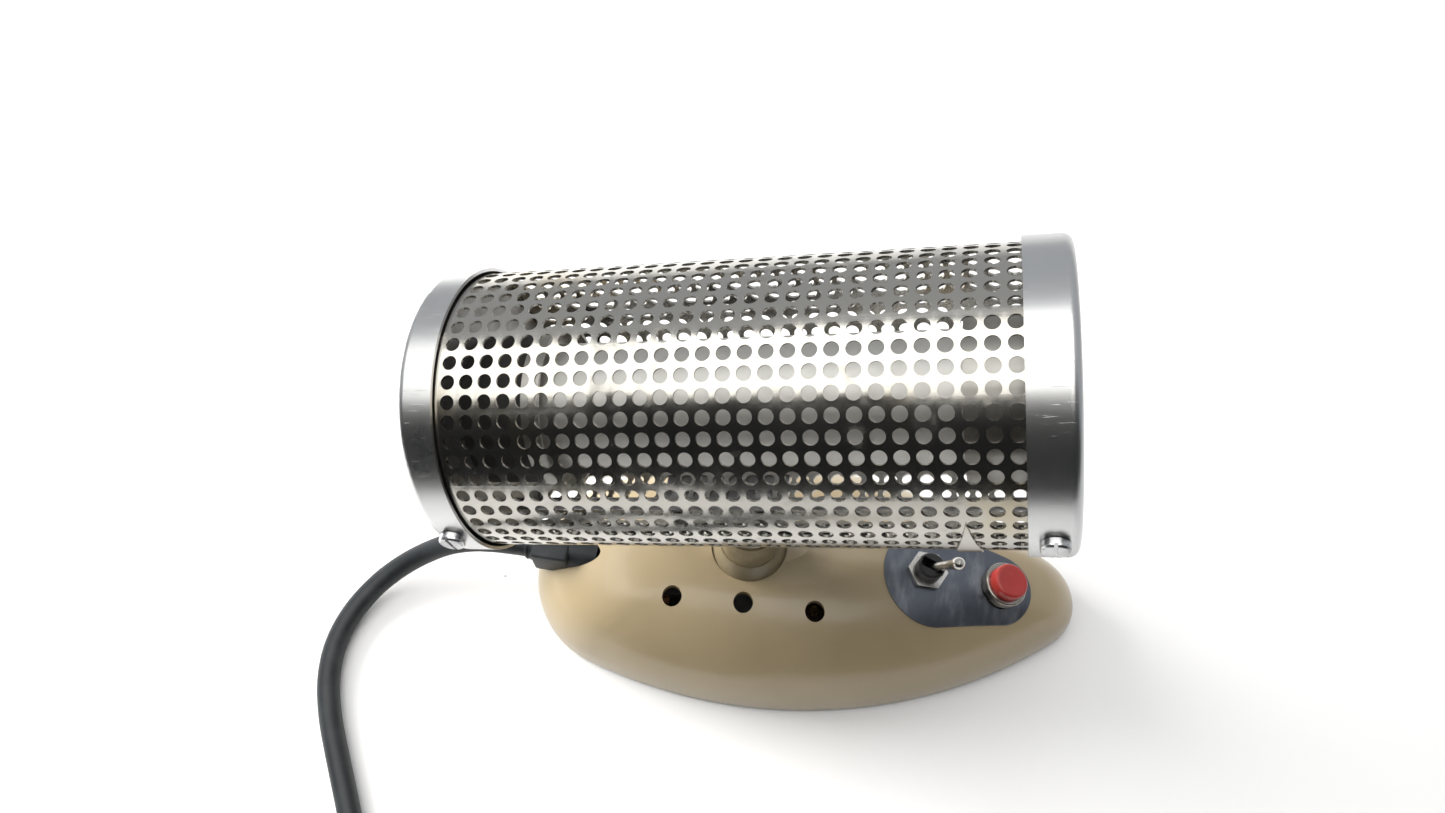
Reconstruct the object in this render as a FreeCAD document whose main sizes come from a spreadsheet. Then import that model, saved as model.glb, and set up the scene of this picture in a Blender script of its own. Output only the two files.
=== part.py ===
import FreeCAD, Part
import math
import os
import re

# A table-top radiant heat lamp: a perforated steel drum on a knuckle and a short stem,
# over a drop-shaped enamelled base with a toggle, a push button and a mains cord.
# X runs along the base towards its narrow end, Z is up, and the origin is on the
# table under the middle of the stem.

os.makedirs("parts", exist_ok=True)
doc = FreeCAD.newDocument("heat_lamp")
sheet = doc.addObject("Spreadsheet::Sheet", "Sizes")

SIZES = [
    # base shell, a drop in plan: reaches from the stem, half width, end radii
    ("base_nose", 87.5),
    ("base_tail", 134.0),
    ("base_half_width", 51.0),
    ("nose_radius", 40.0),
    ("tail_radius", 18.0),
    ("base_turn", 2.2),
    ("dome_top", 46.0),
    ("dome_power", 2.3),
    ("foot_height", 3.0),
    ("foot_radius", 7.0),
    ("shell_wall", 2.5),
    ("floor_sheet", 1.5),
    ("floor_gap", 0.4),
    ("boss_radius", 4.0),
    ("floor_screw_radius", 1.5),
    ("vent_radius", 3.75),
    ("vent_pitch", 27.2),
    ("vent_offset", 22.3),
    # control plate, toggle and push button
    ("panel_sheet", 0.8),
    ("panel_start", 52.0),
    ("panel_end", 111.0),
    ("panel_half_width", 19.2),
    ("panel_end_radius", 13.2),
    ("controls_offset", -1.8),
    ("toggle_place", 68.4),
    ("toggle_bush_radius", 5.9),
    ("toggle_boot_radius", 5.2),
    ("toggle_boot_top", 8.2),
    ("toggle_turn", -18.0),
    ("toggle_throw", 28.0),
    ("toggle_pivot", 5.2),
    ("lever_length", 14.5),
    ("lever_tip_radius", 2.4),
    ("button_place", 98.4),
    ("button_radius", 6.9),
    ("button_top", 8.6),
    ("button_travel", 2.5),
    ("bezel_radius", 8.7),
    ("bezel_height", 4.4),
    ("barrel_radius", 7.8),
    # stem and collar
    ("stem_radius", 10.8),
    ("stem_bore", 8.0),
    ("stem_foot", 29.0),
    ("stem_top", 63.0),
    ("collar_radius", 14.4),
    ("collar_seat", 44.4),
    ("collar_top", 50.0),
    ("boss_foot", 38.0),
    ("stem_nut_height", 6.0),
    ("washer_sheet", 1.5),
    # knuckle: tilt pin across the lamp, nod pin along the drum
    ("pivot_height", 75.3),
    ("tilt_drop", 77.0),
    ("nod_drop", 57.0),
    ("head_tilt", 13.9),
    ("ear_radius", 8.0),
    ("ear_sheet", 4.0),
    ("tongue_width", 8.0),
    ("barrel_length", 18.0),
    ("saddle_ear", 3.0),
    ("pin_radius", 2.95),
    ("saddle_sheet", 2.0),
    ("saddle_length", 42.0),
    ("saddle_half_width", 24.0),
    # drum: perforated guard between two spun caps
    ("guard_radius", 42.75),
    ("guard_sheet", 0.8),
    ("hole_radius", 2.1),
    ("hole_pitch", 5.7),
    ("hole_columns", 28),
    ("seam_turn", 2.1),
    ("left_margin", 1.3),
    ("right_margin", -1.1),
    ("cap_radius", 44.5),
    ("cap_sheet", 1.0),
    ("left_cap_width", 11.7),
    ("right_cap_width", 13.4),
    ("cap_round", 3.0),
    ("cap_overlap", 8.0),
    ("cap_vent_radius", 3.0),
    ("screw_radius", 1.9),
    ("screw_head_radius", 4.0),
    ("screw_head_height", 2.6),
    ("bulkhead_sheet", 1.5),
    ("bulkhead_depth", 7.0),
    # burner: reflector tube, end cups, quartz tube in ceramic holders
    ("reflector_radius", 19.7),
    ("reflector_sheet", 0.8),
    ("left_cup_back", -63.0),
    ("left_cup_depth", 5.5),
    ("right_cup_lip", 63.0),
    ("window_margin", 16.0),
    ("cup_radius", 25.4),
    ("cup_sheet", 1.0),
    ("quartz_radius", 6.0),
    ("quartz_wall", 1.0),
    ("element_radius", 2.6),
    ("holder_radius", 10.0),
    ("holder_depth", 14.0),
    ("socket_floor", 4.0),
    ("lead_way_radius", 5.0),
    ("holder_lead_radius", 1.5),
    ("rod_radius", 2.0),
    ("rod_place", 33.0),
    # cord
    ("cord_radius", 4.4),
    ("gland_radius", 6.4),
    ("gland_length", 19.5),
    ("gland_head", 13.4),
    ("gland_head_start", 10.6),
    ("gland_head_length", 7.0),
    ("coil_radius", 47.0),
    ("coil_half_width", 14.6),
    ("coil_height", 18.0),
    ("plug_width", 30.0),
    ("plug_depth", 26.0),
    ("pin_offset", 9.5),
    # clearances
    ("running_gap", 0.1),
    ("fixed_gap", 0.05),
    ("side_gap", 0.3),
]
for row, (alias, value) in enumerate(SIZES, 1):
    sheet.set("A%d" % row, alias)
    sheet.set("B%d" % row, str(value))
    sheet.setAlias("B%d" % row, alias)
doc.recompute()
ALIASES = {alias for alias, value in SIZES}
V = FreeCAD.Vector
TURNS = {
    "z": FreeCAD.Rotation(),
    "x": FreeCAD.Rotation(V(0, 1, 0), 90),
    "y": FreeCAD.Rotation(V(1, 0, 0), -90),
}


def size(alias):
    """The number in one cell of the sheet."""
    return float(sheet.get(alias))


def tied(text):
    """An expression on the sheet, from text that names its cells."""
    named = lambda m: "Sizes." + m.group() if m.group() in ALIASES else m.group()
    return re.sub(r"[a-z]\w+", named, str(text))


def primitive(kind, name, along, place, **sizes):
    """One solid whose sizes and place are tied to the sheet."""
    solid = doc.addObject("Part::" + kind, name)
    solid.Placement = FreeCAD.Placement(V(), TURNS[along])
    for key, text in sizes.items():
        solid.setExpression(key, tied(text))
    for axis, text in zip("xyz", place):
        solid.setExpression("Placement.Base." + axis, tied(text))
    return solid


def rod(name, radius, length, place=(0, 0, 0), along="z"):
    """A cylinder that starts at place and runs along one axis."""
    return primitive("Cylinder", name, along, place, Radius=radius, Height=length)


def taper(name, radius, end_radius, length, place=(0, 0, 0), along="z"):
    return primitive("Cone", name, along, place, Radius1=radius, Radius2=end_radius, Height=length)


def ball(name, radius, place):
    return primitive("Sphere", name, "z", place, Radius=radius)


def block(name, sides, place):
    """A box centred on place in X and Y that stands on place in Z."""
    corner = ("(%s) - (%s) / 2" % (place[0], sides[0]), "(%s) - (%s) / 2" % (place[1], sides[1]), place[2])
    return primitive("Box", name, "z", corner, Length=sides[0], Width=sides[1], Height=sides[2])


def drill(name, radius, length, frame, start):
    """A cylinder along the Z of a tilted frame, from start on that axis."""
    tool = primitive("Cylinder", name, "z", (), Radius=radius, Height=length)
    tool.Placement = FreeCAD.Placement(frame.multVec(V(0, 0, start)), frame.Rotation)
    return tool


def hexagon(name, radius, length, place=(0, 0, 0), along="z"):
    """A six-sided bar, its radius measured to the corners."""
    solid = primitive("Prism", name, along, place, Circumradius=radius, Height=length)
    solid.Polygon = 6
    return solid


def fuse(name, *solids):
    joined = doc.addObject("Part::MultiFuse", name)
    joined.Shapes = list(solids)
    return joined


def cut(name, solid, *tools):
    opened = doc.addObject("Part::Cut", name)
    opened.Base = solid
    opened.Tool = tools[0] if len(tools) == 1 else fuse(name + "_tools", *tools)
    return opened


def common(name, *solids):
    shared = doc.addObject("Part::MultiCommon", name)
    shared.Shapes = list(solids)
    return shared


def group(name, solids):
    """Separate solids of one kind, kept in one object."""
    kept = doc.addObject("Part::Compound", name)
    kept.Links = list(solids)
    return kept


def made(name, shape):
    """An object that holds a shape built straight from the sheet's numbers."""
    solid = doc.addObject("Part::Feature", name)
    solid.Shape = shape
    return solid


def rounded(name, solid, radius, chosen):
    """Fillets on the edges that chosen picks from the solid."""
    doc.recompute()
    edges = [i for i, edge in enumerate(solid.Shape.Edges, 1) if chosen(edge)]
    fillet = doc.addObject("Part::Fillet", name)
    fillet.Base = solid
    fillet.Edges = [(i, radius, radius) for i in edges]
    return fillet


PARTS = []


def keep(label, solid, placement=None):
    """Name a finished sub-part and stand it in its frame."""
    if placement is not None:
        solid.Placement = placement.multiply(solid.Placement)
    solid.Label = label
    PARTS.append(solid)
    return solid


# frames of the tilted pieces

UPWARD = V(0, 0, 1)
lean = FreeCAD.Rotation(V(0, 1, 0), -size("head_tilt"))
pivot = V(0, 0, size("pivot_height"))
neck_frame = FreeCAD.Placement(pivot, lean)
# the saddle's middle lies on the perforation: three pitches from the drum's middle
SADDLE_STEPS = -3
saddle_shift = SADDLE_STEPS * size("hole_pitch")
head_frame = FreeCAD.Placement(pivot + lean.multVec(V(-saddle_shift, 0, size("tilt_drop"))), lean)


# base

def drop_outline(nose, tail, half_width, nose_radius, tail_radius, scale=1.0, level=0.0, turn=0.0):
    """A closed drop in plan: two end arcs joined by two long tangent side arcs."""
    nose_x = nose_radius - nose
    tail_x = tail - tail_radius

    def side_span(radius):
        left = (half_width - nose_radius) * (2 * radius - half_width - nose_radius)
        right = (half_width - tail_radius) * (2 * radius - half_width - tail_radius)
        return math.sqrt(max(left, 0)), math.sqrt(max(right, 0))

    low, high = half_width, 100 * half_width
    for _ in range(80):
        side = (low + high) / 2
        if sum(side_span(side)) < tail_x - nose_x:
            low = side
        else:
            high = side
    middle_x = nose_x + side_span(side)[0]
    drop = side - half_width

    def meet(end_x, end_radius):
        """The tangent point of a side arc and an end arc, above the axis."""
        along = V(end_x - middle_x, drop, 0)
        along.normalize()
        return V(end_x, 0, 0) + along * end_radius

    nose_meet = meet(nose_x, nose_radius)
    tail_meet = meet(tail_x, tail_radius)
    mirror = lambda p: V(p.x, -p.y, p.z)
    edges = [
        Part.Arc(tail_meet, V(middle_x, half_width, 0), nose_meet),
        Part.Arc(nose_meet, V(-nose, 0, 0), mirror(nose_meet)),
        Part.Arc(mirror(nose_meet), V(middle_x, -half_width, 0), mirror(tail_meet)),
        Part.Arc(mirror(tail_meet), V(tail, 0, 0), tail_meet),
    ]
    outline = Part.Wire([edge.toShape() for edge in edges])
    outline.scale(scale, V())
    outline.rotate(V(), UPWARD, turn)
    outline.translate(V(0, 0, level))
    return outline


def base_outline(grow, scale=1.0, level=0.0):
    """The base's outline, grown outwards or inwards all round."""
    names = ("base_nose", "base_tail", "base_half_width", "nose_radius", "tail_radius")
    sizes = [size(name) + grow for name in names]
    return drop_outline(*sizes, scale=scale, level=level, turn=size("base_turn"))


DOME_STEPS = (0, 0.12, 0.28, 0.45, 0.6, 0.73, 0.84, 0.92, 0.97, 0.993)


def dome_solid(grow, floor_drop=0.0):
    """The dome's solid form, grown by a thickness all over."""
    power = size("dome_power")
    foot = size("foot_height")
    rise = size("dome_top") + grow - foot
    sections = []
    if floor_drop:
        sections.append(base_outline(grow, 1.0, foot - floor_drop))
    for step in DOME_STEPS:
        scale = (1 - step ** power) ** (1 / power)
        sections.append(base_outline(grow, scale, foot + rise * step))
    return Part.makeLoft(sections, True, False)


def dome_height(x):
    """Height of the dome over a point on its centre line."""
    power = size("dome_power")
    reach = size("base_tail") if x > 0 else size("base_nose")
    rise = size("dome_top") - size("foot_height")
    return size("foot_height") + rise * (1 - (abs(x) / reach) ** power) ** (1 / power)


def dome_frame(x):
    """A frame on the line of the controls, its Z square to the dome."""
    step = 1.0
    fall = (dome_height(x - step) - dome_height(x + step)) / (2 * step)
    slope = FreeCAD.Rotation(V(0, 1, 0), math.degrees(math.atan(fall)))
    return FreeCAD.Placement(V(x, size("controls_offset"), dome_height(x)), slope)


toggle_frame = dome_frame(size("toggle_place"))
button_frame = dome_frame(size("button_place"))

# floor screws and feet, in from the outline: X, and Y on both sides
SCREW_POINTS = [(-30, 37), (-30, -37), (62, 31), (62, -31)]
FOOT_POINTS = [(-54, 22), (-54, -24), (96, 20), (96, -14), (0, 0)]
BOSS_FOOT = "foot_height + floor_sheet"

outer_dome = dome_solid(0)
inner_dome = dome_solid(-size("shell_wall"), floor_drop=1.0)

# cord inlet: high on the nose, aimed away from the stem and a little down
gland_aim = V(-1, 0.06, -0.03)
gland_aim.normalize()
gland_root = V(-69, -5.3, 30.8)
gland_frame = FreeCAD.Placement(gland_root, FreeCAD.Rotation(UPWARD, gland_aim))


def base_shell():
    """Enamelled dome with its screw bosses, vents and holes for the controls and the stem."""
    hollow = made("dome", outer_dome.cut(inner_dome))
    posts = []
    for i, (x, y) in enumerate(SCREW_POINTS):
        posts.append(rod("boss_%d" % i, "boss_radius", "dome_top", (x, y, BOSS_FOOT)))
    posts.append(rod("stem_boss", "collar_radius + 2", "dome_top", (0, 0, "boss_foot")))
    inside = made("dome_form", outer_dome.copy())
    shell = fuse("shell", hollow, common("bosses", fuse("posts", *posts), inside))
    tools = [
        rod("collar_spot", "collar_radius + side_gap", "20", (0, 0, "collar_seat")),
        rod("stem_way", "stem_radius + side_gap", "40", (0, 0, "boss_foot - 5")),
        drill("gland_way", "gland_radius + fixed_gap", "40", gland_frame, -20),
        drill("toggle_way", "toggle_bush_radius + side_gap", "30", toggle_frame, -15),
        drill("button_way", "barrel_radius + side_gap", "30", button_frame, -15),
    ]
    side = "gland_head + 2 * fixed_gap"
    seat = block("gland_seat", (side, side, "20"), (0, 0, "gland_head_start - fixed_gap"))
    notch = group("gland_notch", [seat])
    notch.Placement = gland_frame
    tools.append(notch)
    for i, (x, y) in enumerate(SCREW_POINTS):
        tools.append(rod("thread_%d" % i, "floor_screw_radius", "10", (x, y, "foot_height")))
    for side in (-1, 1):
        for step in (-1, 0, 1):
            place = ("%d * vent_pitch" % step, "%d * vent_offset" % side, "dome_top - 14")
            tools.append(rod("vent_%d_%d" % (side + 1, step + 1), "vent_radius", "30", place))
    keep("base_shell", cut("shell_cut", shell, *tools))


def base_floor():
    """Steel floor plate inside the rim, with its four screws and five rubber feet."""
    rim = base_outline(-size("shell_wall") - size("floor_gap"), 1.0, size("foot_height"))
    plate = made("floor_blank", Part.Face(rim).extrude(V(0, 0, size("floor_sheet"))))
    holes = []
    for i, (x, y) in enumerate(SCREW_POINTS):
        holes.append(rod("floor_hole_%d" % i, "floor_screw_radius + side_gap", "8", (x, y, 0)))
    for i, (x, y) in enumerate(FOOT_POINTS):
        holes.append(rod("foot_hole_%d" % i, "2 + fixed_gap", "8", (x, y, 0)))
    keep("base_plate", cut("floor_plate", plate, *holes))
    screws = []
    for i, (x, y) in enumerate(SCREW_POINTS):
        head = rod("floor_head_%d" % i, "2 * floor_screw_radius", "1.6", (x, y, "foot_height - 1.6"))
        reach = "floor_sheet + 7"
        shank = rod("floor_shank_%d" % i, "floor_screw_radius - fixed_gap", reach, (x, y, "foot_height"))
        screws.append(fuse("floor_screw_%d" % i, head, shank))
    keep("base_plate_screws", group("floor_screws", screws))
    feet = []
    for i, (x, y) in enumerate(FOOT_POINTS):
        pad = taper("foot_pad_%d" % i, "foot_radius - 1", "foot_radius", "foot_height", (x, y, 0))
        plug = rod("foot_plug_%d" % i, "2", "floor_sheet", (x, y, "foot_height"))
        button = rod("foot_button_%d" % i, "3", "1.5", (x, y, "foot_height + floor_sheet"))
        feet.append(fuse("foot_%d" % i, pad, plug, button))
    keep("rubber_feet", group("feet", feet))


def tapered_slot(near_radius, far_radius, span):
    """A closed slot in plan: two end arcs, the near one round the origin, and straight sides."""
    lean = (near_radius - far_radius) / span
    rise = math.sqrt(1 - lean ** 2)
    near_top = V(near_radius * lean, near_radius * rise, 0)
    near_low = V(near_radius * lean, -near_radius * rise, 0)
    far_top = V(span + far_radius * lean, far_radius * rise, 0)
    far_low = V(span + far_radius * lean, -far_radius * rise, 0)
    near_arc = Part.Arc(near_top, V(-near_radius, 0, 0), near_low).toShape()
    far_arc = Part.Arc(far_low, V(span + far_radius, 0, 0), far_top).toShape()
    near_side = Part.makeLine(near_low, far_low)
    far_side = Part.makeLine(far_top, near_top)
    return Part.Wire([near_arc, near_side, far_arc, far_side])


def control_plate():
    """Thin plate that follows the dome round the toggle and the button."""
    skin = dome_solid(size("panel_sheet")).cut(outer_dome)
    reach = size("panel_half_width")
    start = size("panel_start") + reach
    end_radius = size("panel_end_radius")
    outline = tapered_slot(reach, end_radius, size("panel_end") - end_radius - start)
    outline.translate(V(start, size("controls_offset"), 0))
    prism = Part.Face(outline).extrude(V(0, 0, 2 * size("dome_top")))
    blank = made("panel_blank", skin.common(prism))
    tools = [
        drill("toggle_panel_way", "toggle_bush_radius + side_gap", "30", toggle_frame, -15),
        drill("button_panel_way", "barrel_radius + side_gap", "30", button_frame, -15),
    ]
    keep("control_plate", cut("panel", blank, *tools))


def base_works():
    """Choke, capacitor and terminal block that stand on the floor plate."""
    floor = "foot_height + floor_sheet"
    core = block("choke_block", (40, 30, 18), (-42, 0, floor))
    keep("choke_core", cut("choke", core, block("choke_window", (24, 40, 8), (-42, 0, floor + " + 5"))))
    winding = block("choke_wrap", (23.4, 34, 7.4), (-42, 0, floor + " + 5.3"))
    keep("choke_coil", winding)
    keep("capacitor", rod("capacitor_can", "8", "36", (14, 26, floor + " + 8"), "x"))
    strip = block("strip_block", (32, 14, 9), (32, -12, floor))
    ways = [rod("strip_way_%d" % i, "2.2", "20", (20 + 8 * i, -12, floor + " + 5")) for i in range(4)]
    keep("terminal_block", cut("strip", strip, *ways))
    posts = [rod("strip_screw_%d" % i, "2.1", "3", (20 + 8 * i, -12, floor + " + 5")) for i in range(4)]
    keep("terminal_screws", group("strip_screws", posts))


def toggle_switch():
    """Panel toggle: body and threaded bush, nut, black boot, and the lever with its ball tip."""
    body = block("toggle_case", (20, 13, 15), (0, 0, -20))
    bush = rod("toggle_bush", "toggle_bush_radius", "7.5", (0, 0, -5))
    keep("toggle_body", fuse("toggle_base", body, bush), toggle_frame)
    nut = hexagon("toggle_hex", "7.9", "2.2", (0, 0, "panel_sheet + fixed_gap"))
    thread = rod("toggle_thread", "toggle_bush_radius + fixed_gap", "8", (0, 0, -2))
    keep("toggle_nut", cut("toggle_ring", nut, thread), toggle_frame)
    boot = rod("boot_blank", "toggle_boot_radius", "toggle_boot_top - 2.6", (0, 0, 2.6))
    soft = rounded("boot_round", boot, 1.2, lambda e: e.BoundBox.ZMin > size("toggle_boot_top") - 0.01)
    slot = block("boot_slot", ("8.6", "3.7", "10"), (0, 0, "toggle_pivot - 1.9"))
    opened = cut("boot", soft, slot)
    turn = FreeCAD.Placement(V(), FreeCAD.Rotation(UPWARD, size("toggle_turn")))
    keep("toggle_boot", opened, toggle_frame.multiply(turn))
    root = rod("lever_root", "1.7", "3.4", (0, -1.7, 0), "y")
    shank = taper("lever_shank", "1.2", "1.6", "lever_length")
    tip = ball("lever_tip", "lever_tip_radius", (0, 0, "lever_length"))
    thrown = FreeCAD.Rotation(V(0, 1, 0), size("toggle_throw"))
    swing = FreeCAD.Placement(V(0, 0, size("toggle_pivot")), thrown)
    keep("toggle_lever", fuse("lever", root, shank, tip), toggle_frame.multiply(turn).multiply(swing))


def push_button():
    """Push button: flanged housing, nut under the shell, and the sliding cap."""
    rim = "bezel_height - panel_sheet"
    flange = rod("bezel_blank", "bezel_radius", rim, (0, 0, "panel_sheet + fixed_gap"))
    soft = rounded("bezel_round", flange, 0.8, lambda e: e.BoundBox.ZMin > size("bezel_height") - 0.01)
    barrel = rod("button_barrel", "barrel_radius", "18", (0, 0, -16))
    bore = rod("button_bore", "button_radius + running_gap", "30", (0, 0, -9))
    keep("button_housing", cut("button_case", fuse("button_solid", soft, barrel), bore), button_frame)
    nut = hexagon("button_hex", "10.4", "2.4", (0, 0, -9.8))
    thread = rod("button_thread", "barrel_radius + fixed_gap", "8", (0, 0, -12))
    keep("button_nut", cut("button_ring", nut, thread), button_frame)
    cap = rod("button_blank", "button_radius", "button_top + 5", (0, 0, -5))
    smooth = rounded("button_round", cap, 1.0, lambda e: e.BoundBox.ZMin > size("button_top") - 0.01)
    keep("button_cap", smooth, button_frame)


def collar_and_stem():
    """Collar on the dome, and the stem that turns in it, held by a washer and a nut."""
    seat = (0, 0, "collar_seat")
    ring = taper("collar_blank", "collar_radius", "collar_radius - 3", "collar_top - collar_seat", seat)
    way = rod("collar_bore", "stem_radius + fixed_gap", "30", (0, 0, "collar_seat - 5"))
    keep("collar_ring", cut("collar", ring, way))
    tube = rod("stem_blank", "stem_radius", "stem_top - stem_foot", (0, 0, "stem_foot"))
    keep("stem_tube", cut("stem", tube, rod("stem_hollow", "stem_bore", "60", (0, 0, "stem_foot - 5"))))
    washer_foot = "boss_foot - side_gap - washer_sheet"
    washer = rod("washer_blank", "stem_radius + 5", "washer_sheet", (0, 0, washer_foot))
    way = rod("washer_bore", "stem_radius + fixed_gap", "10", (0, 0, "boss_foot - 6"))
    keep("stem_washer", cut("washer", washer, way))
    nut_foot = washer_foot + " - fixed_gap - stem_nut_height"
    nut = hexagon("stem_hex", "stem_radius + 5", "stem_nut_height", (0, 0, nut_foot))
    way = rod("nut_bore", "stem_radius + fixed_gap", "20", (0, 0, "boss_foot - 15"))
    keep("stem_nut", cut("stem_ring", nut, way))


def stem_fork():
    """Fork in the top of the stem, with the bolt that the knuckle tilts on."""
    plug = rod("fork_plug", "stem_bore - fixed_gap", "10", (0, 0, "stem_top - 10"))
    disc = rod("fork_disc", "stem_radius", "2.5", (0, 0, "stem_top"))
    cheek = "tongue_width / 2 + side_gap"
    ears = []
    for side in (-1, 1):
        middle = "%d * (%s + ear_sheet / 2)" % (side, cheek)
        sides = ("2 * ear_radius", "ear_sheet", "pivot_height - stem_top")
        face = middle + " - ear_sheet / 2"
        ears.append(block("fork_ear_%d" % side, sides, (0, middle, "stem_top")))
        ears.append(rod("fork_round_%d" % side, "ear_radius", "ear_sheet", (0, face, "pivot_height"), "y"))
    bore = rod("fork_bore", "pin_radius + fixed_gap", "40", (0, -20, "pivot_height"), "y")
    keep("stem_fork", cut("fork", fuse("fork_solid", plug, disc, *ears), bore))
    outside = cheek + " + ear_sheet"
    reach = "2 * (%s) + 5" % outside
    shank = rod("bolt_shank", "pin_radius", reach, (0, "-(%s)" % outside, "pivot_height"), "y")
    head = rod("bolt_head", "5.5", "3.2", (0, "-(%s) - 3.2 - fixed_gap" % outside, "pivot_height"), "y")
    neck = rod("bolt_neck", "pin_radius", "1", (0, "-(%s) - 0.5" % outside, "pivot_height"), "y")
    keep("tilt_bolt", fuse("bolt", shank, head, neck))
    nut = hexagon("tilt_hex", "6", "4", (0, outside + " + fixed_gap", "pivot_height"), "y")
    thread = rod("tilt_thread", "pin_radius + fixed_gap", "20", (0, "%s - 5" % outside, "pivot_height"), "y")
    keep("tilt_nut", cut("tilt_ring", nut, thread))


def knuckle():
    """Block that tilts on the fork's bolt and carries the nod pin above it."""
    rise = "tilt_drop - nod_drop"
    tongue = rod("tongue_round", "ear_radius", "tongue_width", (0, "-tongue_width / 2", 0), "y")
    web = block("tongue_web", ("ear_radius * 1.6", "tongue_width", rise), (0, 0, 0))
    barrel = rod("nod_barrel", "ear_radius", "barrel_length", ("-barrel_length / 2", 0, rise), "x")
    ways = [
        rod("tilt_way", "pin_radius + running_gap", "40", (0, -20, 0), "y"),
        rod("nod_way", "pin_radius + running_gap", "60", (-30, 0, rise), "x"),
    ]
    keep("knuckle_block", cut("knuckle", fuse("knuckle_solid", tongue, web, barrel), *ways), neck_frame)


# drum

def hole_rows():
    """Angles of the perforation's rows, from straight down towards the front."""
    pitch = size("hole_pitch") / size("guard_radius")
    count = int(2 * math.pi / pitch)
    seam = 2 * math.pi - (count - 1) * pitch
    return [math.radians(size("seam_turn")) + seam / 2 + i * pitch for i in range(count)]


def drum_direction(angle):
    """Unit vector square to the drum's axis: 0 is straight down, a right angle is the front."""
    return V(0, -math.sin(angle), -math.cos(angle))


half_guard = size("hole_columns") * size("hole_pitch") / 2
left_cap_lip = -half_guard - size("left_margin")
right_cap_lip = half_guard + size("right_margin")
guard_start = left_cap_lip - size("cap_overlap")
guard_end = right_cap_lip + size("cap_overlap")
left_cap_end = left_cap_lip - size("left_cap_width")
right_cap_end = right_cap_lip + size("right_cap_width")
left_screw = left_cap_lip - size("left_cap_width") / 2
right_screw = right_cap_lip + size("right_cap_width") / 2


def ring(start, length):
    """A plain length of the guard's sheet."""
    axis = V(1, 0, 0)
    outside = Part.makeCylinder(size("guard_radius"), length, V(start, 0, 0), axis)
    inside = Part.makeCylinder(size("guard_radius") - size("guard_sheet"), length, V(start, 0, 0), axis)
    return outside.cut(inside)


def guard_tube():
    """Rolled perforated sheet: one ring of holes, repeated along the drum and sewn together."""
    pitch = size("hole_pitch")
    depth = 4 * size("guard_sheet")
    punches = []
    for angle in hole_rows():
        out = drum_direction(angle)
        start = V(pitch / 2, 0, 0) + out * (size("guard_radius") - depth / 2)
        punches.append(Part.makeCylinder(size("hole_radius"), depth, start, out))
    unit = ring(0, pitch).cut(Part.makeCompound(punches))
    pieces = [unit.translated(V(-half_guard + i * pitch, 0, 0)) for i in range(int(size("hole_columns")))]
    screw_way = size("screw_radius") + size("side_gap")
    across = 4 * size("guard_radius")
    for start, stop, screw in ((guard_start, -half_guard, left_screw), (half_guard, guard_end, right_screw)):
        way = Part.makeCylinder(screw_way, across, V(screw, -across / 2, 0), V(0, 1, 0))
        pieces.append(ring(start, stop - start).cut(way))
    faces = []
    for piece in pieces:
        for face in piece.Faces:
            rim = face.CenterOfMass.x
            flat = isinstance(face.Surface, Part.Plane)
            if not flat or min(abs(rim - guard_start), abs(rim - guard_end)) < 1e-6:
                faces.append(face)
    skin = Part.Compound(faces)
    skin.sewShape()
    keep("guard_tube", made("guard", Part.makeSolid(skin.Shells[0])), head_frame)


TAB_SHEET = 0.6


def guard_tab():
    """Plain triangular tab on the guard's front, by the narrow end of the base."""
    inner = size("guard_radius") + size("fixed_gap")
    start = V(50, 0, 0)
    along = V(1, 0, 0)
    outside = Part.makeCylinder(inner + TAB_SHEET, 40, start, along)
    shell = outside.cut(Part.makeCylinder(inner, 40, start, along))
    corners = [V(63.2, -60, 7), V(60, -60, -10), V(60, -60, -20), V(66.6, -60, -20), V(66.6, -60, -10)]
    corners.append(corners[0])
    prism = Part.Face(Part.makePolygon(corners)).extrude(V(0, 55, 0))
    keep("guard_tab", made("tab", shell.common(prism)), head_frame)


CAP_VENTS = 8
CAP_VENT_REACH = 0.55


def cap(side, end, lip, screw):
    """Spun aluminium cap with a rounded rim, a vent ring and two screw holes."""
    length = abs(end - lip)
    inward = 1 if lip > end else -1
    low = min(end, lip)
    blank = rod(side + "_cap_blank", "cap_radius", length, (low, 0, 0), "x")
    near_end = lambda e: abs(e.CenterOfMass.x - end) < 2 * size("cap_sheet") and e.Length > 10
    soft = rounded(side + "_cap_round", blank, size("cap_round"), near_end)
    hollow_low = low + size("cap_sheet") if inward > 0 else low - 5
    deep = "%s - cap_sheet + 5" % length
    hollow = rod(side + "_cap_hollow", "cap_radius - cap_sheet", deep, (hollow_low, 0, 0), "x")
    inner = rounded(side + "_cap_inner", hollow, size("cap_round") - size("cap_sheet"), near_end)
    across = (screw, "-2 * cap_radius", 0)
    tools = [inner, rod(side + "_cap_screw_way", "screw_radius + side_gap", "4 * cap_radius", across, "y")]
    for i in range(CAP_VENTS):
        angle = math.radians(360 / CAP_VENTS * (i + 0.5))
        y, z = (CAP_VENT_REACH * part for part in (math.cos(angle), math.sin(angle)))
        place = (end - 5, "%f * cap_radius" % y, "%f * cap_radius" % z)
        tools.append(rod("%s_cap_vent_%d" % (side, i), "cap_vent_radius", "10", place, "x"))
    keep(side + "_cap", cut(side + "_cap_cut", soft, *tools), head_frame)


def rod_point(sign):
    """Where a tie rod runs, low in the drum on either side."""
    angle = math.radians(50)
    return sign * size("rod_place") * math.cos(angle), -size("rod_place") * math.sin(angle)


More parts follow.
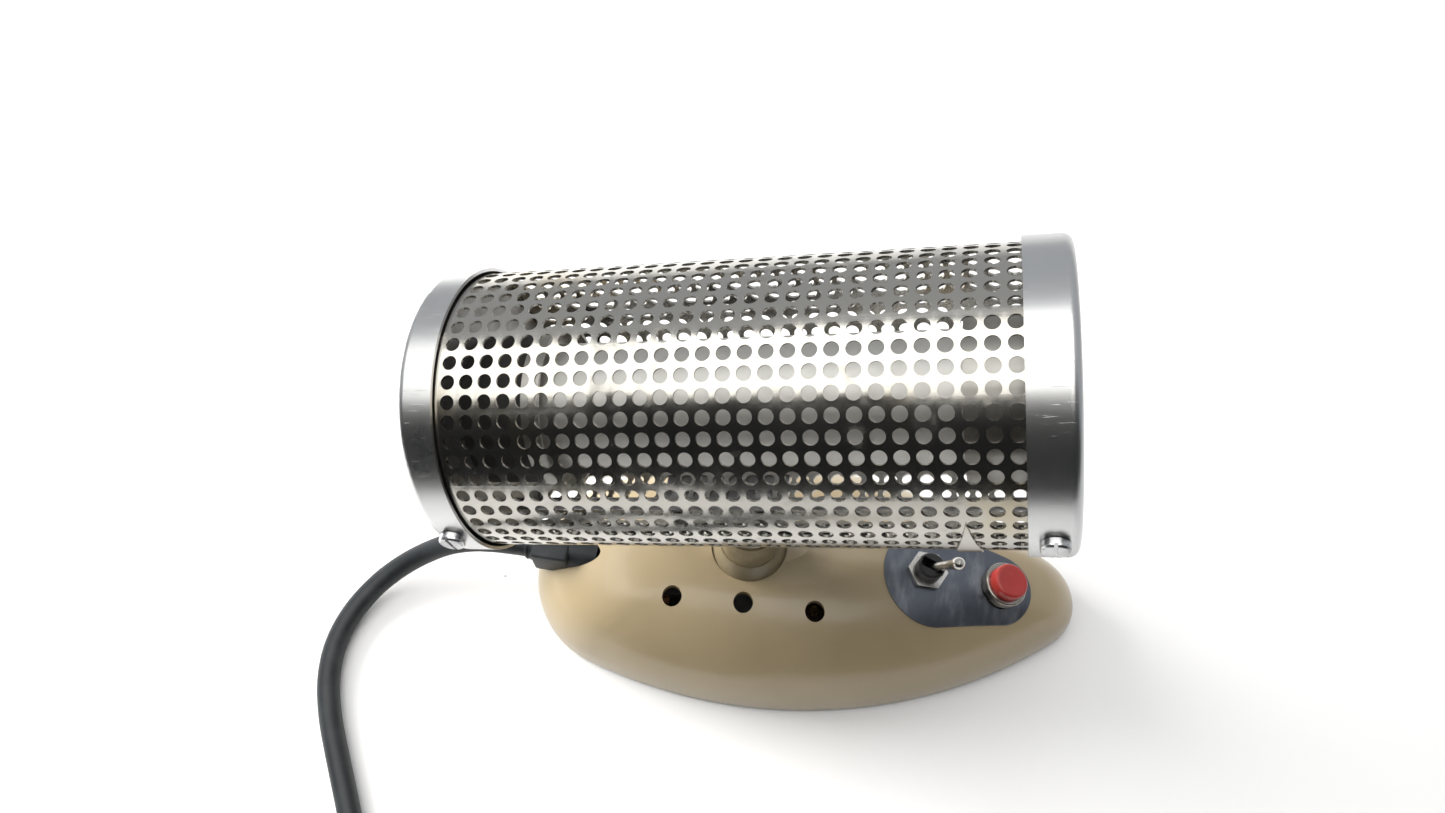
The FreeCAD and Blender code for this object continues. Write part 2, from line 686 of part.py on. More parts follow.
def bulkhead(side, end, screw):
    """Pressed disc inside the guard's end; the cap screws bite in its flange."""
    inward = 1 if side == "left" else -1
    face = end + inward * size("cap_overlap")
    low = min(face, face - inward * size("bulkhead_depth"))
    outer = "guard_radius - guard_sheet - side_gap"
    blank = rod(side + "_disc_blank", outer, "bulkhead_depth", (low, 0, 0), "x")
    hollow_low = low - 5 if inward > 0 else low + size("bulkhead_sheet")
    length = "bulkhead_depth - bulkhead_sheet + 5"
    across = (screw, "-2 * cap_radius", 0)
    tools = [
        rod(side + "_disc_hollow", outer + " - bulkhead_sheet", length, (hollow_low, 0, 0), "x"),
        rod(side + "_disc_screw_way", "screw_radius + fixed_gap", "4 * cap_radius", across, "y"),
        rod(side + "_disc_lead_way", "lead_way_radius", "20", (face - 10, 0, 0), "x"),
    ]
    for sign in (-1, 1):
        y, z = rod_point(sign)
        tools.append(rod(side + "_disc_rod_way", "rod_radius + fixed_gap", "20", (face - 10, y, z), "x"))
    keep(side + "_bulkhead", cut(side + "_disc", blank, *tools), head_frame)
    return face


def cap_screws():
    """Pan-head screws, front and back in each cap."""
    screws = []
    for side, x in (("left", left_screw), ("right", right_screw)):
        for sign in (-1, 1):
            face = "cap_radius + fixed_gap" if sign > 0 else "-(cap_radius + fixed_gap) - screw_head_height"
            name = "%s_head_%d" % (side, sign)
            head = rod(name, "screw_head_radius", "screw_head_height", (x, face, 0), "y")
            top = size("cap_radius") + size("fixed_gap") + size("screw_head_height")
            at_top = lambda e: abs(abs(e.CenterOfMass.y) - top) < 0.01
            soft = rounded("%s_pan_%d" % (side, sign), head, 1.0, at_top)
            slot = block("%s_slot_%d" % (side, sign), (1.0, 3.0, 12.0), (x, sign * (top + 0.5), -6))
            start = "cap_radius - 6" if sign > 0 else "-(cap_radius + 1)"
            shank = rod("%s_shank_%d" % (side, sign), "screw_radius", "7", (x, start, 0), "y")
            slotted = cut("%s_slotted_%d" % (side, sign), soft, slot)
            screws.append(fuse("%s_screw_%d" % (side, sign), slotted, shank))
    keep("cap_screws", group("cap_screw_set", screws), head_frame)


SADDLE_COLUMNS = 2.5
SADDLE_ROW = 2


def saddle_points():
    """The four holes of the perforation that the saddle is bolted through."""
    rows = hole_rows()
    angles = (rows[SADDLE_ROW], rows[-1 - SADDLE_ROW])
    columns = [saddle_shift + side * SADDLE_COLUMNS * size("hole_pitch") for side in (-1, 1)]
    return [(x, drum_direction(angle)) for x in columns for angle in angles]


def saddle():
    """Curved saddle under the guard, its two ears on the nod pin, and what bolts it on."""
    inner = "guard_radius + fixed_gap"
    start = saddle_shift - size("saddle_length") / 2
    outside = rod("saddle_outside", inner + " + saddle_sheet", "saddle_length", (start, 0, 0), "x")
    window = block("saddle_window", ("saddle_length", "2 * saddle_half_width", "60"), (saddle_shift, 0, -60))
    ears = []
    for sign in (-1, 1):
        x = "%f + %d * (barrel_length / 2 + side_gap + saddle_ear / 2)" % (saddle_shift, sign)
        sides = ("saddle_ear", "2 * ear_radius", "nod_drop - guard_radius + 4")
        ears.append(block("saddle_ear_%d" % sign, sides, (x, 0, "-nod_drop")))
        foot = (x + " - saddle_ear / 2", 0, "-nod_drop")
        ears.append(rod("saddle_round", "ear_radius", "saddle_ear", foot, "x"))
    solid = fuse("saddle_solid", common("saddle_plate", outside, window), *ears)
    tools = [rod("saddle_inside", inner, "saddle_length + 20", (start - 10, 0, 0), "x")]
    tools.append(rod("saddle_bore", "pin_radius + fixed_gap", "80", (saddle_shift - 40, 0, "-nod_drop"), "x"))
    bolts = []
    nuts = []
    for i, (x, out) in enumerate(saddle_points()):
        frame = FreeCAD.Placement(V(x, 0, 0), FreeCAD.Rotation(UPWARD, out))
        inside = size("guard_radius") - 10
        tools.append(drill("saddle_way_%d" % i, "screw_radius + side_gap", "20", frame, inside))
        head = rod("saddle_head_%d" % i, "3.4", "2.2", (0, 0, "guard_radius + 2 * fixed_gap + saddle_sheet"))
        shank = rod("saddle_shank_%d" % i, "screw_radius", "saddle_sheet + 6", (0, 0, "guard_radius - 5.5"))
        bolt = fuse("saddle_bolt_%d" % i, head, shank)
        bolt.Placement = frame
        bolts.append(bolt)
        foot = "guard_radius - guard_sheet - 2.4 - side_gap"
        nut_blank = hexagon("saddle_hex_%d" % i, "3.6", "2.4", (0, 0, foot))
        thread = rod("saddle_nut_way_%d" % i, "screw_radius + fixed_gap", "20", (0, 0, "guard_radius - 12"))
        nut = cut("saddle_nut_%d" % i, nut_blank, thread)
        nut.Placement = frame
        nuts.append(nut)
    keep("saddle_bracket", cut("saddle", solid, *tools), head_frame)
    keep("saddle_screws", group("saddle_bolts", bolts), head_frame)
    keep("saddle_nuts", group("saddle_nut_set", nuts), head_frame)
    nod_bolt()


def nod_bolt():
    """Headed pin through the knuckle's barrel and the saddle's ears, and its nut."""
    reach = "barrel_length / 2 + side_gap + saddle_ear"
    left = "%f - (%s)" % (saddle_shift, reach)
    right = "%f + %s" % (saddle_shift, reach)
    pin = rod("nod_shank", "pin_radius", "2 * (%s) + 5" % reach, (left, 0, "-nod_drop"), "x")
    head = rod("nod_head", "5", "3", (left + " - 3 - fixed_gap", 0, "-nod_drop"), "x")
    neck = rod("nod_neck", "pin_radius", "1", (left + " - 0.5", 0, "-nod_drop"), "x")
    keep("nod_pin", fuse("nod_bolt", pin, head, neck), head_frame)
    nut = hexagon("nod_hex", "5.6", "3.6", (right + " + fixed_gap", 0, "-nod_drop"), "x")
    thread = rod("nod_thread", "pin_radius + fixed_gap", "20", (right + " - 5", 0, "-nod_drop"), "x")
    keep("nod_nut", cut("nod_ring", nut, thread), head_frame)


def burner(left_face, right_face):
    """Cups, ceramic holders, quartz tube with its element, spacer and tie rods."""
    left_back = size("left_cup_back")
    cups = (
        ("left", left_back, left_back + size("left_cup_depth"), left_back),
        ("right", size("right_cup_lip"), right_face, right_face),
    )
    for side, low, high, back in cups:
        shell = rod(side + "_cup_blank", "cup_radius", high - low, (low, 0, 0), "x")
        hollow_low = low + size("cup_sheet") if side == "left" else low - 5
        hollow_length = high - low - size("cup_sheet") + 5
        hollow = rod(side + "_cup_hollow", "cup_radius - cup_sheet", hollow_length, (hollow_low, 0, 0), "x")
        lead = rod(side + "_cup_way", "lead_way_radius", "20", (back - 10, 0, 0), "x")
        keep(side + "_cup", cut(side + "_cup_cut", shell, hollow, lead), head_frame)
    left_floor = left_back + size("cup_sheet")
    right_floor = right_face - size("cup_sheet")
    reflector(left_floor, right_floor)
    depth = size("holder_depth")
    socket = size("socket_floor")
    for side, low, way in (("left", left_floor, socket), ("right", right_floor - depth, -socket)):
        blank = rod(side + "_holder_blank", "holder_radius", depth, (low, 0, 0), "x")
        seat = rod(side + "_holder_way", "quartz_radius + fixed_gap", depth, (low + way, 0, 0), "x")
        lead = rod(side + "_holder_lead", "holder_lead_radius", 2 * depth, (low - 5, 0, 0), "x")
        keep(side + "_holder", cut(side + "_holder_cut", blank, seat, lead), head_frame)
    low = left_floor + socket + size("side_gap")
    high = right_floor - socket - size("side_gap")
    glass = rod("quartz_blank", "quartz_radius", high - low, (low, 0, 0), "x")
    bore = rod("quartz_bore", "quartz_radius - quartz_wall", "400", (-200, 0, 0), "x")
    keep("quartz_tube", cut("quartz", glass, bore), head_frame)
    low -= size("side_gap")
    high += size("side_gap")
    wire = rod("element", "element_radius", high - low, (low, 0, 0), "x")
    keep("heater_element", group("element_wire", [wire]), head_frame)
    spacer = rod("insulator_blank", "cup_radius - 2", left_back - left_face, (left_face, 0, 0), "x")
    bore = rod("insulator_way", "lead_way_radius", "60", (left_face - 20, 0, 0), "x")
    keep("left_insulator", cut("insulator", spacer, bore), head_frame)
    rods = []
    for sign in (-1, 1):
        y, z = rod_point(sign)
        length = right_face - left_face + 6
        rods.append(rod("rod_shank_%d" % sign, "rod_radius", length, (left_face - 3, y, z), "x"))
    keep("tie_rods", group("rods", rods), head_frame)


def reflector(low, high):
    """Bright tube between the cups' floors, cut open along its back."""
    tube = rod("reflector_blank", "reflector_radius", high - low, (low, 0, 0), "x")
    bore = rod("reflector_bore", "reflector_radius - reflector_sheet", "400", (-200, 0, 0), "x")
    length = high - low - 2 * size("window_margin")
    window = block("reflector_window", (length, 60, 26), ((low + high) / 2, 30, -13))
    keep("reflector_tube", cut("reflector", tube, bore, window), head_frame)


# cord

COIL_CENTRE = V(-56.7, -169.4, 0)
PLUG_LEVEL = 13.5
# the outer turn's distance from the middle of the coil's turns
COIL_SPREAD = 10.0

# corners of the laid stretch, from the strain relief to the coil
ROUTE = [
    (-98.0, -3.6, 29.9), (-109.8, -3.4, 28.2), (-120.9, -4.0, 23.6), (-131.8, -6.1, 16.8),
    (-143.0, -10.8, 10.6), (-153.0, -19.2, 6.5), (-160.3, -30.8, 4.6), (-163.6, -44.2, 4.5),
    (-162.5, -58.5, 4.5), (-157.5, -73.0, 4.5), (-149.8, -88.0, 4.5), (-141.7, -103.0, 4.5),
    (-134.0, -118.0, 4.5), (-127.0, -133.0, 4.5), (-121.0, -148.0, 4.5), (-116.6, -163.2, 4.5),
    (-114.0, -178.5, 4.5),
]


def route_wire(points):
    """Straight runs joined by tangent arcs, each as large as its two runs allow."""
    edges = []
    last = points[0]
    for before, corner, after in zip(points, points[1:], points[2:]):
        back = before - corner
        forth = after - corner
        turn = math.pi - back.getAngle(forth)
        trim = 0.45 * min(back.Length, forth.Length)
        radius = trim / math.tan(turn / 2)
        print("cord bend radius %.1f" % radius)
        start = corner + back.normalize() * trim
        stop = corner + forth.normalize() * trim
        inward = (back + forth).normalize()
        middle = corner + inward * (radius / math.cos(turn / 2) - radius)
        edges.append(Part.LineSegment(last, start).toShape())
        edges.append(Part.Arc(start, middle, stop).toShape())
        last = stop
    edges.append(Part.LineSegment(last, points[-1]).toShape())
    return Part.Wire(edges)


def mains_cord():
    """Strain relief, the cord's laid stretch, its coil, and the plug."""
    radius = size("cord_radius")
    length = size("gland_length")
    sleeve = rod("gland_sleeve", "gland_radius", "16", (0, 0, -10))
    nose = taper("gland_nose", "gland_radius", "cord_radius + 0.6", "gland_length - 6", (0, 0, 6))
    head = block("gland_block", ("gland_head", "gland_head", "gland_head_length"), (0, 0, "gland_head_start"))
    soft = rounded("gland_soft", head, 1.0, lambda e: e.BoundBox.ZLength > 5)
    keep("cord_gland", fuse("gland", sleeve, nose, soft), gland_frame)
    start = gland_root + gland_aim * length
    points = [start] + [V(*point) for point in ROUTE]
    path = route_wire(points)
    aim = path.Edges[0].tangentAt(path.Edges[0].FirstParameter)
    section = Part.Wire([Part.Circle(start, aim, radius).toShape()])
    tube = path.makePipeShell([section], True, True)
    ratio = tube.Volume / (path.Length * math.pi * radius ** 2)
    print("cord run length %.1f volume ratio %.4f" % (path.Length, ratio))
    keep("cord_run", made("run", tube))
    hank = rod("hank_outside", "coil_radius + coil_half_width", "coil_height", (0, 0, "fixed_gap"))
    eye = rod("hank_eye", "coil_radius - coil_half_width", "coil_height + 10", (0, 0, -5))
    soft = rounded("hank", cut("hank_ring", hank, eye), 4.0, lambda e: True)
    keep("cord_coil", soft, FreeCAD.Placement(COIL_CENTRE, FreeCAD.Rotation()))
    plug()


def plug():
    """Moulded plug at the coil's outer turn, its pins forward."""
    turn_radius = size("coil_radius") + COIL_SPREAD
    rim = size("coil_radius") + size("coil_half_width")
    clear = math.sqrt(rim ** 2 - turn_radius ** 2)
    tail = COIL_CENTRE + V(clear, -turn_radius, PLUG_LEVEL)
    plug_frame = FreeCAD.Placement(tail, FreeCAD.Rotation(UPWARD, V(1, 0, 0)))
    relief = taper("plug_relief", "cord_radius + 0.6", "7", "22")
    half = PLUG_LEVEL - size("fixed_gap")
    body = block("plug_block", (2 * half, "plug_width", "plug_depth"), (0, 0, 22))
    soft = rounded("plug_soft", body, 4.0, lambda e: e.BoundBox.ZLength > 20)
    front = block("plug_front", (18, 20, 6.1), (0, 0, "22 + plug_depth - 0.1"))
    keep("plug_body", fuse("plug", relief, soft, front), plug_frame)
    root = "28 + plug_depth"
    pins = [rod("pin_%d" % sign, "2.4", "19", (0, "%d * pin_offset" % sign, root)) for sign in (-1, 1)]
    keep("plug_pins", group("pins", pins), plug_frame)


base_shell()
base_floor()
control_plate()
base_works()
toggle_switch()
push_button()
collar_and_stem()
stem_fork()
knuckle()
guard_tube()
guard_tab()
cap("left", left_cap_end, left_cap_lip, left_screw)
cap("right", right_cap_end, right_cap_lip, right_screw)
left_face = bulkhead("left", left_cap_end + 1.5, left_screw)
right_face = bulkhead("right", right_cap_end - 1.5, right_screw)
cap_screws()
saddle()
burner(left_face, right_face)
mains_cord()

doc.recompute()
for item in doc.Objects:
    if "Invalid" in item.State or "Error" in item.State:
        raise RuntimeError("%s failed: %s" % (item.Name, item.State))
for part in PARTS:
    if part.Shape.isNull() or not part.Shape.isValid():
        raise RuntimeError("%s has no valid shape" % part.Label)
for part in PARTS:
    part.Shape.exportStep("parts/%s.step" % part.Label)
    print("%-18s solids %d volume %.0f" % (part.Label, len(part.Shape.Solids), part.Shape.Volume))
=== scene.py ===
# %% [markdown]
# # A table-top heat lamp
# A perforated metal drum sits on a tilting knuckle over a drop-shaped enamelled base.
# The exact parts come from a CAD model, so this file makes what CAD can't show: finishes,
# the soft cord, wound wire and softened edges. Each cell makes one piece or one finish.

# %% Load the fixed frame
import math

import bpy
from mathutils import Matrix, Vector


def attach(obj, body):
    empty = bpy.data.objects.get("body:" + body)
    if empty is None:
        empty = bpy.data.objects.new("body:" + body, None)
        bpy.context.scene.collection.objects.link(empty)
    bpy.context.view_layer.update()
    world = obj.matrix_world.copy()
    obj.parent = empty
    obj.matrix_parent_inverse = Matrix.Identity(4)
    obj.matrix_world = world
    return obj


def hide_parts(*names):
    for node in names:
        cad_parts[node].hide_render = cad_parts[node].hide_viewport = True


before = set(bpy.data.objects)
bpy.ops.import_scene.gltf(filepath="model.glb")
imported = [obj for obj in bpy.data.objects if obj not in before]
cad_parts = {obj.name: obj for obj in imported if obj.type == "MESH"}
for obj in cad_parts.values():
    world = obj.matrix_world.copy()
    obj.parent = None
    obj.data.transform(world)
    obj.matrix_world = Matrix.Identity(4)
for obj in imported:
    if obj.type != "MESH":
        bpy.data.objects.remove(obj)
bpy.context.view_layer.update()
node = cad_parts
MM = 0.001
print("parts loaded:", len(node))

# %% [markdown]
# ## The camera
# The lamp is seen from above, at about 60 degrees to the table. A lens of 27 mm on a 36 mm
# sensor gives the strong perspective that makes the near end of the drum look larger.

# %% Camera
LENS = 26.98
SENSOR_WIDTH = 36
CAMERA_PLACE = (8.57, -162.5, 433.5)
camera = bpy.data.objects.new("camera", bpy.data.cameras.new("camera"))
bpy.context.scene.collection.objects.link(camera)
camera.data.lens = LENS
camera.data.sensor_width = SENSOR_WIDTH
camera.data.clip_start = 0.01
camera.location = Vector(CAMERA_PLACE) * MM
camera.rotation_euler = (math.radians(30), 0, math.radians(6.68))
bpy.context.scene.camera = camera
print("camera height", round(camera.location.z, 3))

# %% [markdown]
# ## The drum's own directions
# The drum is tilted, so patterns that run round it or along it need its middle and its
# tilt. A Mapping node set to Texture undoes a place and a turn in one step.

# %% Directions of the drum
TILT = math.radians(13.9)
lean = Matrix.Rotation(-TILT, 3, "Y")
PIVOT = Vector((0, 0, 75.3)) * MM
HOLE_PITCH = 5.7 * MM
SADDLE_PITCHES = 3
DRUM_LIFT = 77 * MM
DRUM_MIDDLE = PIVOT + lean @ Vector((SADDLE_PITCHES * HOLE_PITCH, 0, DRUM_LIFT))
print("middle of the drum", [round(v, 4) for v in DRUM_MIDDLE])

# %% [markdown]
# ## Tools for finishes
# A finish is a tree of shader nodes. Long trees are hard to read as node calls, so a small
# class lets sums be written as Python sums, and one method makes every other node.

# %% A number that varies over a surface


class Level:
    """A node's output that can be used in Python sums."""

    def __init__(self, finish, socket):
        self.finish = finish
        self.socket = socket

    def reckon(self, operation, other):
        made = self.finish.node("Math", {"operation": operation}, {0: self, 1: other})
        return Level(self.finish, made.outputs[0])

    def __add__(self, other):
        return self.reckon("ADD", other)

    __radd__ = __add__

    def __mul__(self, other):
        return self.reckon("MULTIPLY", other)

    def __pow__(self, other):
        return self.reckon("POWER", other)

    def ramp(self, low, high):
        """0 below low, 1 above high, and smooth between."""
        ends = {"Value": self, "From Min": low, "From Max": high}
        made = self.finish.node("MapRange", {"interpolation_type": "SMOOTHSTEP"}, ends)
        return Level(self.finish, made.outputs[0])


print("sums ready")

# %% [markdown]
# ## One material and its nodes
# Each finish starts from a Principled shader. Its patterns are laid out in Object
# coordinates, which are metres on the lamp itself, so no piece has to be unwrapped.

# %% A finish


class Finish:
    """A Principled material with helpers for patterns."""

    def __init__(self, name, colour, roughness, metal=0.0, **uniform):
        self.material = bpy.data.materials.new(name)
        self.material.use_nodes = True
        self.tree = self.material.node_tree
        self.surface = self.tree.nodes["Principled BSDF"]
        self.set("Base Color", (*colour, 1.0))
        self.set("Roughness", roughness)
        self.set("Metallic", metal)
        for label, value in uniform.items():
            self.set(label.replace("_", " "), value)
        self.here = self.node("TexCoord").outputs["Object"]

    def feed(self, socket, value):
        if isinstance(value, Level):
            value = value.socket
        if isinstance(value, bpy.types.NodeSocket):
            self.tree.links.new(value, socket)
        else:
            socket.default_value = value

    def set(self, label, value):
        self.feed(self.surface.inputs[label], value)

    def node(self, kind, settings=None, inputs=None):
        made = self.tree.nodes.new("ShaderNode" + kind)
        for label, value in (settings or {}).items():
            setattr(made, label, value)
        for label, value in (inputs or {}).items():
            self.feed(made.inputs[label], value)
        return made

    def turned(self, place, turn):
        """Coordinates seen from a tilted piece's own middle."""
        settings = {"vector_type": "TEXTURE"}
        inputs = {"Vector": self.here, "Location": place, "Rotation": turn}
        return self.node("Mapping", settings, inputs).outputs[0]

    def stretched(self, where, scale):
        return self.node("Mapping", {}, {"Vector": where, "Scale": scale}).outputs[0]

    def along(self, where):
        """The three parts of a coordinate."""
        parts = self.node("SeparateXYZ", {}, {0: where})
        return [Level(self, out) for out in parts.outputs]

    def noise(self, scale, detail=3.0, where=None):
        inputs = {"Vector": where or self.here, "Scale": scale, "Detail": detail, "Roughness": 0.5}
        made = self.node("TexNoise", {}, inputs)
        return Level(self, made.outputs[0])

    def cells(self, scale):
        made = self.node("TexVoronoi", {"feature": "F1"}, {"Vector": self.here, "Scale": scale})
        return Level(self, made.outputs[0])

    def mixed(self, factor, first, second):
        """One colour where factor is 0, the other where it is 1."""
        first = (*first, 1.0) if isinstance(first, tuple) else first
        second = (*second, 1.0) if isinstance(second, tuple) else second
        return self.node("Mix", {"data_type": "RGBA"}, {0: factor, 6: first, 7: second}).outputs[2]

    def relief(self, height, depth, strength=1.0, below=None):
        """Bump from a height, on top of any bump below it."""
        made = self.node("Bump", {}, {"Height": height, "Distance": depth, "Strength": strength})
        if below is not None:
            self.feed(made.inputs["Normal"], below)
        return made.outputs[0]

    def wear(self, *names):
        """Put this finish on CAD parts."""
        for name in names:
            for slot in node[name].material_slots:
                slot.material = self.material
        return self


print("finish tools ready")

# %% [markdown]
# ## The cord
# A rubber mains lead is stiff: it leaves the strain relief, drops to the table and lies in
# wide curves. A NURBS curve with a few listed points gives such a line, and a round
# bevel gives its thickness. The spare length is wound in a flat coil of two layers: the
# lower one winds inwards, climbs at the middle, and the upper one winds out to the plug.

# %% Route of the cord
CORD_RADIUS = 4.4
gland_aim = Vector((-1, 0.06, -0.03)).normalized()
gland_root = Vector((-69, -5.3, 30.8))
GLAND_LENGTH = 19.5
cord_exit = gland_root + gland_aim * GLAND_LENGTH
ROUTE = [
    tuple(cord_exit), (-98.0, -3.6, 29.9), (-109.8, -3.4, 28.2), (-120.9, -4.0, 23.6),
    (-131.8, -6.1, 16.8), (-143.0, -10.8, 10.6), (-153.0, -19.2, 6.5), (-160.3, -30.8, 4.6),
    (-163.6, -44.2, 4.5), (-162.5, -58.5, 4.5), (-157.5, -73.0, 4.5), (-149.8, -88.0, 4.5),
    (-141.7, -103.0, 4.5), (-134.0, -118.0, 4.5), (-127.0, -133.0, 4.5), (-121.0, -148.0, 4.5),
    (-116.6, -163.2, 4.5),
]
COIL_MIDDLE = Vector((-56.7, -169.4, 0))
COIL_RADII = (57.0, 37.0)
LAYER_HEIGHTS = (4.5, 13.4)
LAYER_TURNS = 1.9
CLIMB_TURNS = 0.42
COIL_TURNS = 4.225
START_TURN = 189 / 360
TURN_POINTS = 16


def coil_point(turn):
    """A point of the coil after some turns from its start."""
    wide, narrow = COIL_RADII
    low, high = LAYER_HEIGHTS
    climbed = min(max((turn - LAYER_TURNS) / CLIMB_TURNS, 0), 1)
    inwards = min(turn / LAYER_TURNS, 1)
    outwards = max((turn - LAYER_TURNS - CLIMB_TURNS) / LAYER_TURNS, 0)
    radius = wide + (narrow - wide) * (inwards - outwards)
    height = low + (high - low) * climbed ** 2 * (3 - 2 * climbed)
    angle = 2 * math.pi * (START_TURN + turn)
    return COIL_MIDDLE + Vector((radius * math.cos(angle), radius * math.sin(angle), height))


coil_count = round(COIL_TURNS * TURN_POINTS)
coil = [coil_point(COIL_TURNS * i / coil_count) for i in range(coil_count + 1)]
plug_tail = coil[-1] + Vector((23, 0, 0.1))
into_plug = [plug_tail - Vector((8, 0, 0)), plug_tail + Vector((4, 0, 0))]
points = [Vector(p) for p in ROUTE] + coil + into_plug
print("cord points", len(points), "coil ends at", [round(v, 1) for v in coil[-1]])

# %% [markdown]
# ## The cord's curve
# The points steer the curve, and it passes close to each without a corner.

# %% Cord curve
cord_data = bpy.data.curves.new("mains_cord", "CURVE")
cord_data.dimensions = "3D"
spline = cord_data.splines.new("NURBS")
spline.points.add(len(points) - 1)
for place, point in zip(spline.points, points):
    place.co = (*(point * MM), 1)
spline.order_u = 3
spline.use_endpoint_u = True
cord_data.resolution_u = 8
cord_data.bevel_depth = CORD_RADIUS * MM
cord_data.bevel_resolution = 6
cord_data.use_fill_caps = True
cord = bpy.data.objects.new("mains_cord", cord_data)
bpy.context.scene.collection.objects.link(cord)

# %% [markdown]
# ## Tools for modelling
# Round pieces grow ring by ring: a short cone is made first, its top face is extruded a
# little and then scaled, again and again. Boxes start as a cube whose edges are bevelled.

# %% Helpers for pieces
def begin():
    """Leave nothing selected, so that the next step touches only the new piece."""
    if bpy.context.object and bpy.context.object.mode != "OBJECT":
        bpy.ops.object.mode_set(mode="OBJECT")
    bpy.ops.object.select_all(action="DESELECT")


def pick(obj, test):
    """Select the faces that pass a test, and stay in edit mode."""
    bpy.ops.object.mode_set(mode="EDIT")
    bpy.ops.mesh.select_mode(type="FACE")
    bpy.ops.mesh.select_all(action="DESELECT")
    bpy.ops.object.mode_set(mode="OBJECT")
    for face in obj.data.polygons:
        face.select = test(face)
    bpy.ops.object.mode_set(mode="EDIT")


def turned(name, profile, sides=48):
    """A round piece from (radius, height) pairs in mm, grown up the Z axis."""
    begin()
    (first, low), (second, high) = profile[:2]
    middle = (0, 0, (low + high) / 2 * MM)
    ends = {"radius1": first * MM, "radius2": second * MM, "depth": (high - low) * MM}
    bpy.ops.mesh.primitive_cone_add(vertices=sides, location=middle, **ends)
    obj = bpy.context.object
    obj.name = name
    bpy.ops.object.transform_apply(location=True, rotation=True, scale=True)
    pick(obj, lambda face: face.normal.z > 0.9 and face.center.z > (high - 0.001) * MM)
    for (radius, height), (wider, higher) in zip(profile[1:], profile[2:]):
        rise = {"value": (0, 0, (higher - height) * MM)}
        bpy.ops.mesh.extrude_region_move(TRANSFORM_OT_translate=rise)
        grow = wider / radius
        bpy.ops.transform.resize(value=(grow, grow, 1), center_override=(0, 0, higher * MM))
    bpy.ops.object.mode_set(mode="OBJECT")
    return obj


def boxed(name, sides, middle):
    """A box with sides and middle in mm, left in edit mode with nothing selected."""
    begin()
    bpy.ops.mesh.primitive_cube_add(size=1)
    obj = bpy.context.object
    obj.name = name
    obj.scale = [side * MM for side in sides]
    obj.location = [part * MM for part in middle]
    bpy.ops.object.transform_apply(location=True, rotation=True, scale=True)
    pick(obj, lambda face: False)
    return obj


def join_pieces(kept, *others):
    """Join other pieces into the kept one."""
    begin()
    for obj in (kept, *others):
        obj.select_set(True)
    bpy.context.view_layer.objects.active = kept
    bpy.ops.object.join()


def settle(obj, frame_matrix, finish, body, smooth=35):
    """Stand a piece in its place with its own axes cleared, and finish and mount it."""
    begin()
    obj.select_set(True)
    bpy.context.view_layer.objects.active = obj
    obj.matrix_world = frame_matrix @ obj.matrix_world
    bpy.ops.object.transform_apply(location=True, rotation=True, scale=True)
    bpy.ops.object.mode_set(mode="EDIT")
    bpy.ops.mesh.select_all(action="SELECT")
    bpy.ops.mesh.normals_make_consistent(inside=False)
    bpy.ops.object.mode_set(mode="OBJECT")
    bpy.ops.object.shade_smooth_by_angle(angle=math.radians(smooth))
    obj.data.materials.clear()
    obj.data.materials.append(finish.material)
    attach(obj, body)
    print(obj.name, "faces", len(obj.data.polygons))


def standing(origin, axis):
    """A frame at origin, in mm, whose Z runs along axis."""
    turn = Vector(axis).to_track_quat("Z", "Y").to_matrix().to_4x4()
    return Matrix.Translation(Vector(origin) * MM) @ turn


CONTROLS_OFFSET = -1.8
DOME_FOOT = 3
DOME_RISE = 43
DOME_REACH = 134
DOME_POWER = 2.3


def dome_height(x):
    """Height of the base's dome over its centre line, in mm."""
    return DOME_FOOT + DOME_RISE * (1 - (x / DOME_REACH) ** DOME_POWER) ** (1 / DOME_POWER)


def dome_place(x):
    """A frame on the line of the controls, its Z square to the dome."""
    fall = (dome_height(x - 1) - dome_height(x + 1)) / 2
    place = Matrix.Translation(Vector((x, CONTROLS_OFFSET, dome_height(x))) * MM)
    return place @ Matrix.Rotation(math.atan(fall), 4, "Y")


print("modelling tools ready")

# %% [markdown]
# ## Enamel of the base
# The base wears a thick warm-grey enamel. Sprayed enamel is never quite flat, so a very
# low, wide bump breaks the reflections, and old lacquer is a little duller in patches. Its
# lowest band, near the table, is drawn darker as painted shade.

# %% Enamel
CREAM = (0.42, 0.335, 0.205)
enamel = Finish("enamel", CREAM, 0.3, Coat_Weight=0.25, Coat_Roughness=0.12)
height_here = enamel.along(enamel.here)[2]
patches = enamel.noise(22, 4)
specks = enamel.cells(900).ramp(0.10, 0.04) * enamel.noise(60).ramp(0.55, 0.7)
# Painted shade: the lowest band of the base is mixed towards a darker grey cream.
low_band_shade = height_here.ramp(0.016, 0.002)
worn = enamel.mixed(patches.ramp(0.35, 0.7) * 0.4, CREAM, (0.35, 0.27, 0.16))
dust_and_shade = enamel.mixed(low_band_shade * 0.35, worn, (0.34, 0.285, 0.2))
enamel.set("Base Color", enamel.mixed(specks * 0.5, dust_and_shade, (0.16, 0.12, 0.08)))
enamel.set("Roughness", 0.24 + patches * 0.14)
peel = enamel.relief(enamel.noise(330, 2), 0.00006, 0.35)
enamel.set("Normal", enamel.relief(enamel.noise(28, 2), 0.0006, 0.25, peel))
enamel.wear("base_shell")
print("enamel nodes", len(enamel.tree.nodes))
